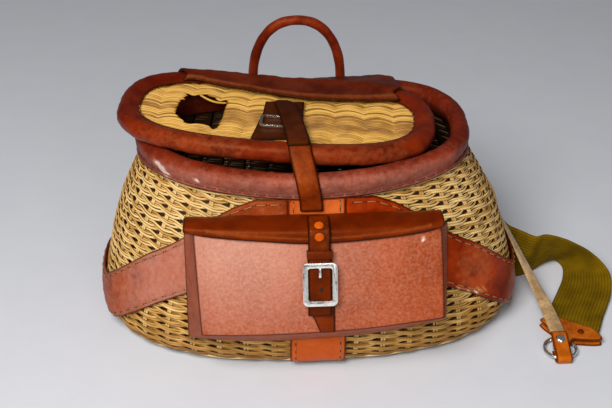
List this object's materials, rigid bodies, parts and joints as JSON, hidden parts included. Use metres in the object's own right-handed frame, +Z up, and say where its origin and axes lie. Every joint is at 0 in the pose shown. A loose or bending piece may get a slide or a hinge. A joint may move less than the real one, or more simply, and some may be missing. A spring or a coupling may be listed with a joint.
{
  "type": "fishing creel bag",
  "caption": "Wicker fishing creel with a leather-bound lid, a front pocket under a strapped flap, a carry handle and a webbing shoulder strap.",
  "frame": {"origin": "middle of the basket's base, on the surface that the creel stands on", "axes": "+X to the right seen from the front, along the basket's length; -Y forward, to the pocket; +Z up"},
  "size_m": [0.507, 0.2638, 0.2548],
  "materials": {
    "willow": "satin",
    "leather": "satin",
    "dark_leather": "satin",
    "worn_leather": "matte",
    "orange_leather": "satin",
    "suede": "matte",
    "webbing": "matte",
    "nickel": "worn"
  },
  "bodies": {
    "root": {"basket_shell": "willow", "rim_binding": "leather", "lid_panel": "willow", "lid_binding": "leather", "hinge_band": "dark_leather", "lid_patch": "dark_leather", "lid_strap": "dark_leather", "lid_buckle": "nickel", "closing_strap": "leather", "carry_handle": "leather", "handle_tab_left": "leather", "handle_tab_right": "leather", "side_band_left": "leather", "side_band_right": "leather", "centre_band": "leather", "pocket_body": "worn_leather", "pocket_flap": "dark_leather", "pocket_strap": "orange_leather", "strap_rivet_upper": "orange_leather", "strap_rivet_lower": "orange_leather", "pocket_buckle": "nickel", "buckle_tongue": "nickel", "strap_keeper": "orange_leather", "pocket_tail": "leather", "shoulder_strap": "suede", "webbing": "webbing", "link_ring": "nickel", "strap_loop": "orange_leather", "loop_rivet": "nickel", "webbing_tab": "orange_leather", "tab_rivet": "leather"}
  },
  "joints": []
}
